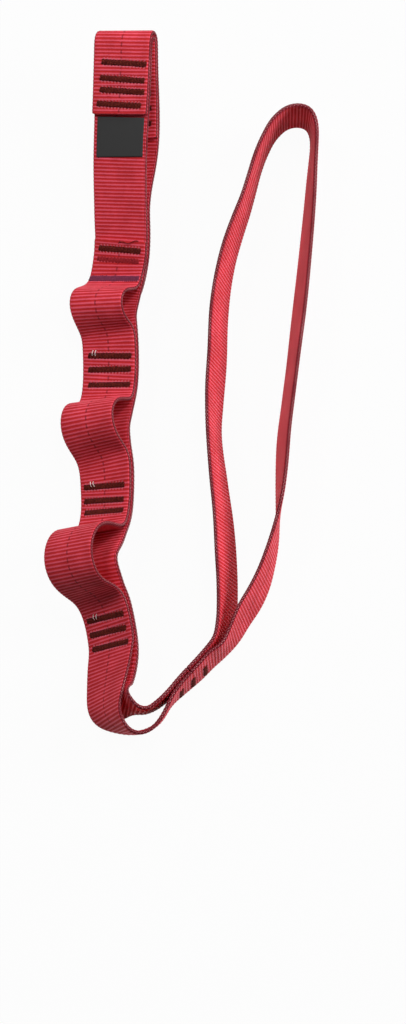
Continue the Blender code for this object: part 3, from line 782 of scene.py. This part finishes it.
def zigzag(place, lift, width, reach, passes, radius, seed):
    """Sew a zigzag across a tape's face and return its thread's skin.

    Local place of stitch number s in 0..passes: across = reach * (s / passes - 1 / 2), along =
    width / 2 * a wave of s with blunt tips, height = an arch that dives at the tips. Each stitch
    strays a little, and the first and last are shorter, which rounds the ends.
    """
    rng = np.random.default_rng(seed)
    s = np.linspace(0, passes, passes * 10 + 1)
    whole = np.floor(s).astype(int)
    jitter = rng.uniform(-1, 1, (3, passes + 2))
    knots = np.arange(passes + 2)
    # A tip strays by up to 12% of the swing, a stitch by 16% of its pitch and an arch by 12% of
    # the thread's radius
    wave = np.sin(math.pi * (s - 0.5))
    swing = np.sign(wave) * abs(wave) ** 0.75 * np.interp(s, knots, 1 + 0.12 * jitter[0])
    share = s / passes - 0.5 + np.interp(s, knots, 0.16 * jitter[1]) / passes
    arch = 1 - abs(wave) ** 6
    height = 0.35 + 0.55 * arch + 0.12 * jitter[2][whole % (passes + 1)] * arch - 1.5 * (1 - arch)
    end = np.clip(1 + (abs(share) - 0.5) * reach / (0.45 * width), 0, 1)
    path = place(share * reach, swing * width / 2 * np.sqrt(1 - 0.7 * end ** 2), radius * height)
    return cord(path, radius, lift, 8, 0.85)


def underlay(place, lift, width, reach, radius):
    """Lay the three straight threads that a bar tack's zigzag covers."""
    side = np.linspace(-0.5, 0.5, 12) * (reach - 2 * radius)
    return [cord(place(side, share * width, 0.2 * radius), radius, lift)
            for share in (-0.24, 0, 0.24)]


def fill(tree, node, inputs):
    """Link each named or numbered input of a node to a socket, or set it to a value."""
    for place, value in inputs.items():
        socket = node.inputs[place]
        if isinstance(value, bpy.types.NodeSocket):
            tree.links.new(value, socket)
        elif socket.type == "RGBA":
            socket.default_value = (*value, 1)
        else:
            socket.default_value = value


def add(tree, kind, inputs=(), **settings):
    """Add a node with its settings, fill its inputs, and return its outputs."""
    node = tree.nodes.new(f"ShaderNode{kind}")
    for name, value in settings.items():
        setattr(node, name, value)
    fill(tree, node, inputs if isinstance(inputs, dict) else dict(enumerate(inputs)))
    return node.outputs


def blank(name):
    """Start a material and return it with its tree and its shader."""
    material = bpy.data.materials.new(name)
    material.use_nodes = True
    tree = material.node_tree
    return material, tree, tree.nodes["Principled BSDF"]


def scaled(colour, share):
    """Return a colour made darker or lighter by a share."""
    return [part * share for part in colour]


def woven_nylon(name, deep=1.0):
    """Dyed nylon webbing, woven on a needle loom in a rib weave.

    The weave attribute holds the rib phase, the place across in millimetres and the face: 1 on
    the side with the tracer, -1 on the other, between them on an edge. Rib crests are pale pink:
    partly the yarn's own tone and partly a painted highlight, which stays in shade too; dips
    between them are deep red. The yarns scatter light, so gloss is low.
    """
    size = bpy.context.scene.strap_webbing
    material, tree, shader = blank(name)
    known = {}
    for attribute, parts in (("weave", ("phase", "across", "face")),
                             ("stitch", ("along", "off", "dark"))):
        vector = add(tree, "Attribute", attribute_name=attribute)["Vector"]
        known.update(zip(parts, add(tree, "SeparateXYZ", (vector,))))
    place = add(tree, "TexCoord")["Object"]
    # Fuzz is about 0.45 mm across, and the dye clouds by about 9 mm
    for noise, scale, detail in (("fuzz", 2200.0, 3.0), ("cloud", 110.0, 4.0)):
        known[noise] = add(tree, "TexNoise", {
            "Vector": place, "Scale": scale, "Detail": detail})[0]
    # Each row names a sum over the surface, and gives its operation and its terms
    for result, what, *terms in (
        ("aside", "ABSOLUTE", "across"),
        ("outer", "ABSOLUTE", "face"),
        ("fine", "SUBTRACT", "fuzz", 0.5),
        ("uneven", "SUBTRACT", "cloud", 0.5),
        # Rib crests, broken up by the warp yarns and by fuzz; pale partly as a painted highlight
        ("turn", "MULTIPLY", "across", TURN / YARN_PITCH),
        ("yarn", "SINE", "turn"),
        ("turn", "MULTIPLY", "phase", TURN),
        ("swell", "COSINE", "turn"),
        ("lifted", "MULTIPLY_ADD", "yarn", 0.12, "swell"),
        ("lifted", "MULTIPLY_ADD", "fine", 1.6, "lifted"),
        ("lifted", "MULTIPLY_ADD", "uneven", 0.9, "lifted"),
        ("crest", "SMOOTHSTEP", "lifted", -0.15, 0.75),
        ("rough", "LINEAR", "crest", 0.0, 1.0, 0.75, 0.55),
        ("shade", "LINEAR", "cloud", 0.3, 0.7, 0.88, 1.08),
        # The tracer floats over every second rib, and is one thick yarn wide
        ("beat", "MULTIPLY", "phase", 0.5),
        ("beat", "FRACT", "beat"),
        ("over", "COMPARE", "beat", 0.5, 0.3),
        ("dash", "LINEAR", "aside", 0.25, 0.45, 0.6, 0.0),
        ("dash", "MULTIPLY", "dash", "over"),
        ("front", "GREATER_THAN", "face", 0.9),
        ("dash", "MULTIPLY", "dash", "front"),
        # The selvage: the edge, and a narrow strip of the back on one side, dark partly as selvage
        # and partly as painted shade where the two layers lie close
        ("back", "LESS_THAN", "face", -0.9),
        ("right", "GREATER_THAN", "across", 0.0),
        ("selvage_and_shade_strip", "MULTIPLY", "back", "right"),
        ("edge", "LESS_THAN", "outer", 0.80),
        ("edge", "MAXIMUM", "edge", "selvage_and_shade_strip"),
        ("reach", "MULTIPLY_ADD", "selvage_and_shade_strip", 0.12, "aside"),
        ("rim", "GREATER_THAN", "reach", SELVAGE_FROM),
        ("rim", "MULTIPLY", "rim", "edge"),
        # A pale weft loop shows on it at each rib
        ("side", "SIGN", "face"),
        ("turn", "MULTIPLY_ADD", "side", 0.25, "phase"),
        ("turn", "MULTIPLY", "turn", TURN),
        ("bead", "COSINE", "turn"),
        ("bead", "MULTIPLY_ADD", "uneven", 1.6, "bead"),
        ("loop", "LINEAR", "bead", 0.55, 0.95, 0.0, 0.9),
        ("tall", "LESS_THAN", "outer", 0.42),
        ("loop", "MULTIPLY", "loop", "tall"),
        ("bare", "SUBTRACT", 1.0, "selvage_and_shade_strip"),
        ("loop", "MULTIPLY", "loop", "bare"),
        # Under and beside each bar tack, as far as it reaches
        ("length", "ABSOLUTE", "along"),
        ("within", "LESS_THAN", "length", TACK_LENGTH / 2 / MM + 0.2),
        ("sewn", "GREATER_THAN", "dark", 0.9),
        ("within", "MULTIPLY", "within", "sewn"),
        ("under", "LESS_THAN", "off", 1.15),
        ("under", "MULTIPLY", "under", "within"),
        # Pale ticks of the tape show between its stitch tips, beside the tack
        ("turn", "MULTIPLY", "along", TURN / TICK_PITCH),
        ("tips", "COSINE", "turn"),
        ("tips", "GREATER_THAN", "tips", -0.1),
        ("beside", "GREATER_THAN", "off", 1.1),
        ("ragged", "MULTIPLY_ADD", "fuzz", 0.9, "off"),
        ("near", "LESS_THAN", "ragged", 2.3),
        ("beside", "MULTIPLY", "beside", "near"),
        ("ticks", "MULTIPLY", "tips", "beside"),
        ("ticks", "MULTIPLY", "ticks", "within"),
        ("ticks", "MULTIPLY", "ticks", 0.65),
        ("relief", "MULTIPLY_ADD", "yarn", 0.25, "fuzz"),
    ):
        terms = [known.get(term, term) for term in terms]
        if what in ("LINEAR", "SMOOTHSTEP"):
            known[result] = add(tree, "MapRange", terms, interpolation_type=what)[0]
        else:
            known[result] = add(tree, "Math", terms, operation=what)[0]
    bound = add(tree, "Mix", {0: known["loop"], 6: size.selvage, 7: size.loop},
                data_type="RGBA")[2]
    base = scaled(size.dip, deep)
    for share, colour, blend in (
        # Pale crests over the dips: partly yarn tone, partly painted highlight
        (known["crest"], scaled(size.crest, deep), "MIX"),
        (1.0, known["shade"], "MULTIPLY"),
        (known["dash"], size.tracer, "MIX"),
        (known["rim"], bound, "MIX"),
        (known["under"], scaled(size.selvage, 0.4), "MIX"),
        (known["ticks"], size.tick_colour, "MIX"),
    ):
        base = add(tree, "Mix", {0: share, 6: base, 7: colour}, data_type="RGBA",
                   blend_type=blend)[2]
    fill(tree, shader, {
        "Base Color": base, "Roughness": known["rough"], "IOR": NYLON_IOR,
        "Specular IOR Level": 0.12, "Sheen Weight": 0.03,
        "Normal": add(tree, "Bump", {
            "Height": known["relief"], "Strength": 0.35, "Distance": 0.12 * MM})[0],
    })
    return material


def sewing_thread(name, dark, fleck):
    """Bonded nylon thread: filaments in a twist, dull in the dips and lighter on top."""
    material, tree, shader = blank(name)
    place = add(tree, "TexCoord")["Object"]
    # Filaments are far finer; drawn at 0.5 mm, so that they show
    strand = add(tree, "TexNoise", {
        "Vector": place, "Scale": 1900.0, "Detail": 4.0, "Roughness": 0.65})[0]
    share = add(tree, "MapRange", (strand, 0.46, 0.68))[0]
    fill(tree, shader, {
        "Base Color": add(tree, "Mix", {0: share, 6: dark, 7: fleck}, data_type="RGBA")[2],
        "Roughness": 0.7, "IOR": NYLON_IOR, "Specular IOR Level": 0.1,
        "Normal": add(tree, "Bump", {
            "Height": strand, "Strength": 0.5, "Distance": 0.1 * MM})[0],
    })
    return material


def label_satin():
    """Damask label cloth: polyester satin, woven fine and heat-cut, charcoal and nearly matt."""
    material, tree, shader = blank("charcoal_damask_satin")
    cloth = bpy.context.scene.strap_label.cloth
    place = add(tree, "Attribute", attribute_name="weave")["Vector"]
    # Satin yarns are about 0.12 mm apart; drawn at 0.3 mm, so that they show
    ridges = add(tree, "TexWave", {"Vector": place, "Scale": 1.06, "Distortion": 0.4},
                 bands_direction="Y")["Fac"]
    grain = add(tree, "TexNoise", {"Vector": place, "Scale": 6.0, "Detail": 4.0})[0]
    grain = add(tree, "Math", (grain, 0.6), operation="MULTIPLY")[0]
    share = add(tree, "Math", (ridges, 0.25, grain), operation="MULTIPLY_ADD")[0]
    fill(tree, shader, {
        "Base Color": add(tree, "Mix", {0: share, 6: scaled(cloth, 0.8), 7: scaled(cloth, 1.25)},
                          data_type="RGBA")[2],
        "Roughness": 0.7, "Specular IOR Level": 0.12,
        "Normal": add(tree, "Bump", {
            "Height": ridges, "Strength": 0.25, "Distance": 0.05 * MM})[0],
    })
    return material


def main_tape():
    """Return the main tape in three lengths: eye and back, foot loop, and chain front."""
    junction = JUNCTION_SHARE * CHAIN.length
    seam = EYE_SEAM_SHARE * CHAIN.length
    folded, folded_across = EYE.tape(PITCH / 2, seam - WALK, FLAP_END_REAR)
    back, back_across = CHAIN.back(seam, junction - WALK)
    loop = foot_loop(CHAIN)
    rear = np.concatenate((folded[::-1], back))
    rear_across = np.concatenate((folded_across[::-1], back_across))
    front, front_across = CHAIN.front(FRONT_END_SHARE * CHAIN.length, junction - WALK)
    front, front_across = round_the_throat(front, front_across)
    # The tape's end was laid a little to the right under the needle
    aside = np.clip((front[:, 1] - END_FROM) / END_RUN, 0, 1) * END_STRAYS
    front = front + front_across * aside[:, None]
    front, front_across = front[::-1], front_across[::-1]
    return (
        (rear, slanted(rear, rear_across, ARM_SLANTS, -1)),
        (loop.middle, loop.across),
        (front, slanted(front, front_across, FRONT_SLANTS, 1)),
    )


class STRAP_OT_main_tape(bpy.types.Operator):
    """Weave the main tape: eye and back, foot loop, and the slack front of the chain"""

    bl_idname = "strap.main_tape"
    bl_label = "Main tape"

    def execute(self, context):
        red = woven_nylon("rib_woven_nylon_webbing")
        names = (
            ("webbing_eye_and_back", ("eye", "back", "throat_inner")),
            ("webbing_foot_loop", ("foot_loop",)),
            ("webbing_chain_front", ("pocket_1", "pocket_2", "pocket_3", "throat_outer")),
        )
        far = 0.0
        for (name, nodes), (middle, across) in zip(names, main_tape()):
            put(woven_tape(name, middle, across, far), red,
                [f"main_tape_{node}" for node in nodes])
            far += walked(middle)[-1]
        return {"FINISHED"}


class STRAP_OT_eye_tape(bpy.types.Operator):
    """Weave the second tape, which covers the fold of the eye"""

    bl_idname = "strap.eye_tape"
    bl_label = "Eye tape"

    def execute(self, context):
        middle, across = EYE.tape(-PITCH / 2, FLAP_END_FRONT, EYE.end)
        # Its rear end was tucked in behind the tape under the needle
        left = walked(middle)[-1] - walked(middle)
        middle = middle - across * (np.clip(1 - left / COVER_RUN, 0, 1) * COVER_STRAYS)[:, None]
        across = slanted(middle, across, COVER_SLANTS, 1)
        mesh = woven_tape("webbing_eye_cover", middle, across, 0.3 * MM, seed=5)
        put(mesh, woven_nylon("rib_woven_nylon_cover", 0.97), ["eye_tape"])
        return {"FINISHED"}


class STRAP_OT_bar_tacks(bpy.types.Operator):
    """Sew the bar tacks, group by group"""

    bl_idname = "strap.bar_tacks"
    bl_label = "Bar tacks"

    def execute(self, context):
        size = context.scene.strap_thread
        thread = sewing_thread("bonded_nylon_tack_thread", size.dark, size.fleck)
        faded = sewing_thread("red_bonded_nylon_thread", size.faded, scaled(size.faded, 1.5))
        pieces = {}
        for seed, (name, (group, place, low, high)) in enumerate(TACKS.items()):
            reach = sewn_length(group)
            group = f"{group}_red" if name == FADED_TACK else group
            nodes, threads = pieces.setdefault(f"tacks_{group}", ([], []))
            nodes.append(name)
            for facing, level_at in ((1, high - TACK_SUNK), (-1, low + TACK_SUNK)):
                lift = place[1] * facing
                rule = on_frame(place, level_at, facing)
                threads += underlay(rule, lift, TACK_BAND, reach, size.radius)
                for turn, wide in enumerate((size.width, 0.8 * size.width)):
                    rule = on_frame(place, level_at + facing * turn * TACK_LAYER, facing)
                    threads.append(zigzag(
                        rule, lift, wide - 2 * size.radius, 1.03 * reach, size.passes + turn,
                        size.radius, 4 * seed + 2 * turn + (facing > 0)))
        for name, (nodes, threads) in pieces.items():
            put(mesh_of(name, *threads), faded if name.endswith("red") else thread,
                nodes)
        return {"FINISHED"}


class STRAP_OT_label(bpy.types.Operator):
    """Lay the bare label on the front of the eye"""

    bl_idname = "strap.label"
    bl_label = "Label"

    def execute(self, context):
        size = context.scene.strap_label
        # A rounded slab: a superellipse section across, carried along the tape, thin at its ends
        turn = np.linspace(0, TURN, 40, endpoint=False)
        side = np.sign(np.cos(turn)) * abs(np.cos(turn)) ** 0.12 * size.width / 2
        rise = np.sign(np.sin(turn)) * abs(np.sin(turn)) ** 0.3 * size.thickness / 2
        place = LABEL_AT - LABEL_UP + np.linspace(-0.5, 0.5, 60) * size.run
        ends = np.ones(len(place))
        ends[[0, -1]] = 0.35
        base = (TAPE_THICKNESS - PITCH + size.thickness) / 2
        middle, across = CHAIN.run.at(place, base)
        across = slanted(middle, across, LABEL_SLANTS, -1)
        middle = middle + across * LABEL_ASIDE
        out = unit(np.cross(unit(np.gradient(middle, axis=0)), across))
        # Its face ripples by 0.04 mm
        wave = 0.04 * MM * np.sin(place[:, None] / (3.1 * MM) + side / (5.3 * MM))
        rings = (LAID_AT + middle[:, None] + across[:, None] * side[:, None]
                 + out[:, None] * (rise * ends[:, None] + wave)[..., None])
        mesh = mesh_of("label_cloth", shell(rings[:, ::-1]))
        note(mesh, "weave", np.stack(np.broadcast_arrays(
            place[:, None] / MM, side[::-1] / MM, 0.0), axis=-1))
        put(mesh, label_satin(), ["label"])
        return {"FINISHED"}


class STRAP_OT_small_thread(bpy.types.Operator):
    """Sew the row that joins the tapes, and leave the loose thread ends"""

    bl_idname = "strap.small_thread"
    bl_label = "Small thread"

    def execute(self, context):
        size = context.scene.strap_thread
        front, across = main_tape()[2]
        here = int(np.argmin(abs(front[:, 1] - JOIN_ROW_AT)))
        outward = unit(np.cross(across[here], front[here + 1] - front[here - 1]))
        rule = on_run(front, across, walked(front)[here], JOIN_TILT,
                      TAPE_THICKNESS / 2 - 0.05 * MM)
        row = zigzag(rule, outward, JOIN_WIDTH, TAPE_WIDTH - 2 * JOIN_INSET, JOIN_PASSES,
                     JOIN_RADIUS, 71)
        put(mesh_of("joining_row", row),
            sewing_thread("purple_nylon_thread", size.join, scaled(size.join, 1.5)))
        # One dark end, 9.6 mm long and wavy, lies over the cut end of the tape above group 1
        _, frame_of, _, high = TACKS["bar_tack_group_1_1"]
        s = np.linspace(0, 1, 40)
        path = on_frame(frame_of, high)(
            (-0.8 + 9.6 * s) * MM, (2.6 + 1.2 * s + 0.5 * np.sin(9 * s)) * MM,
            (0.15 + 0.5 * np.sin(math.pi * s)) * MM)
        put(mesh_of("loose_thread", cord(path, LOOSE_RADIUS, frame_of[1])),
            sewing_thread("loose_dark_thread", size.dark, size.fleck))
        # Two pale ends, 2.2 mm long and 1.4 mm apart, stand at the first tack of each lower group
        tails = []
        rng = np.random.default_rng(23)
        s = np.linspace(0, 1, 14)
        for group, inset in TAIL_INSETS.items():
            _, frame_of, _, high = TACKS[f"bar_tack_{group}_1"]
            for number in range(2):
                lean = rng.uniform(-0.4, 0.4)
                path = on_frame(frame_of, high)(
                    (inset + 1.4 * number + 2 * lean * s) * MM - TACK_LENGTH / 2, 2.2 * MM * s,
                    (0.35 + 0.5 * np.sin(math.pi * s)) * MM)
                tails.append(cord(path, TAIL_RADIUS, frame_of[1]))
        put(mesh_of("thread_tails", *tails),
            sewing_thread("pale_thread_ends", size.tail, scaled(size.tail, 1.1)))
        return {"FINISHED"}


def white_paper():
    """Plain paper: white to the camera and in gloss, and a dull grey that bounces less light."""
    material, tree, shader = blank("white_paper")
    fill(tree, shader, {
        "Base Color": bpy.context.scene.strap_stage.floor, "Roughness": 0.9,
        "Specular IOR Level": 0.0})
    seen = add(tree, "LightPath")
    share = add(tree, "Math", (seen["Is Camera Ray"], seen["Is Glossy Ray"]), operation="ADD",
                use_clamp=True)[0]
    share = add(tree, "Math", (share, PAPER_GLOW), operation="MULTIPLY")[0]
    glow = add(tree, "Emission", {"Color": (1, 1, 1), "Strength": 1.0})[0]
    blend = add(tree, "MixShader", (share, shader.outputs[0], glow))[0]
    fill(tree, tree.nodes["Material Output"], {"Surface": blend})
    return material


def even_light(sky):
    """Light the scene evenly and weakly from all sides, with pure white behind it."""
    world = bpy.data.worlds.new("studio")
    world.use_nodes = True
    tree = world.node_tree
    seen = add(tree, "LightPath")
    white = add(tree, "Math", (seen["Is Camera Ray"], seen["Is Glossy Ray"]), operation="ADD")[0]
    white = add(tree, "Math", (white, seen["Is Transmission Ray"]), operation="ADD",
                use_clamp=True)[0]
    strength = add(tree, "Math", (white, 1 - sky, sky), operation="MULTIPLY_ADD")[0]
    fill(tree, tree.nodes["Background"], {"Color": (1, 1, 1), "Strength": strength})
    return world


class STRAP_OT_stage(bpy.types.Operator):
    """Lay the floor, set the soft lights and place the camera"""

    bl_idname = "strap.stage"
    bl_label = "Stage"

    def execute(self, context):
        scene = context.scene
        size = scene.strap_stage
        floor = bpy.data.meshes.new("paper_sweep")
        floor.from_pydata([(x * FLOOR_REACH, y * FLOOR_REACH, 0) for x, y in (
            (-1, -1), (1, -1), (1, 1), (-1, 1))], [], [(0, 1, 2, 3)])
        floor.materials.append(white_paper())
        sweep = bpy.data.objects.new("paper_sweep", floor)
        sweep.location.z = -FLOOR_DROP
        scene.collection.objects.link(sweep)
        scene.world = even_light(size.sky)
        # Square softboxes: where each stands, aimed at the strap, and how wide it is
        for name, power, where, wide in (
            ("left_softbox", size.left, (-0.69, 0.57, 1.47), 0.4),
            ("top_softbox", size.top, (0.34, 0.60, 1.57), 0.4),
            ("side_softbox", size.side, (1.42, 0.38, 0.95), 0.8),
        ):
            lamp = bpy.data.lights.new(name, "AREA")
            lamp.shape = "SQUARE"
            lamp.size = wide
            lamp.energy = power
            item = bpy.data.objects.new(name, lamp)
            item.location = where
            item.rotation_mode = "QUATERNION"
            item.rotation_quaternion = item.location.to_track_quat("Z", "Y")
            scene.collection.objects.link(item)
        camera = bpy.data.objects.new("camera", bpy.data.cameras.new("camera"))
        away = np.array((0, -math.cos(size.elevation), math.sin(size.elevation)))
        camera.location = AIMED_AT + LAID_AT + size.distance * away
        camera.rotation_euler = (math.radians(90) - size.elevation, 0, 0)
        camera.data.lens = size.lens
        camera.data.sensor_width = 36
        camera.data.clip_end = 10
        scene.collection.objects.link(camera)
        scene.camera = camera
        scene.view_settings.view_transform = "Standard"
        return {"FINISHED"}


class STRAP_PT_panel(bpy.types.Panel):
    """List the strap's pieces"""

    bl_label = "Multi-loop strap"
    bl_idname = "STRAP_PT_panel"
    bl_space_type = "VIEW_3D"
    bl_region_type = "UI"
    bl_category = "Strap"

    def draw(self, context):
        for operator in OPERATORS:
            self.layout.operator(operator.bl_idname)


SETTINGS = {
    "strap_webbing": WebbingSettings,
    "strap_thread": ThreadSettings,
    "strap_label": LabelSettings,
    "strap_stage": StageSettings,
}
OPERATORS = (
    STRAP_OT_main_tape,
    STRAP_OT_eye_tape,
    STRAP_OT_bar_tacks,
    STRAP_OT_label,
    STRAP_OT_small_thread,
    STRAP_OT_stage,
)
CLASSES = (*SETTINGS.values(), *OPERATORS, STRAP_PT_panel)


def register():
    """Register the classes and hang the settings on the scene."""
    for kind in CLASSES:
        bpy.utils.register_class(kind)
    for name, kind in SETTINGS.items():
        setattr(bpy.types.Scene, name, PointerProperty(type=kind))


def unregister():
    """Take the settings off the scene and unregister the classes."""
    for name in SETTINGS:
        delattr(bpy.types.Scene, name)
    for kind in reversed(CLASSES):
        bpy.utils.unregister_class(kind)


def main():
    """Make every piece."""
    register()
    bpy.ops.strap.main_tape()
    bpy.ops.strap.eye_tape()
    bpy.ops.strap.bar_tacks()
    bpy.ops.strap.label()
    bpy.ops.strap.small_thread()
    bpy.ops.strap.stage()


if __name__ == "__main__":
    main()
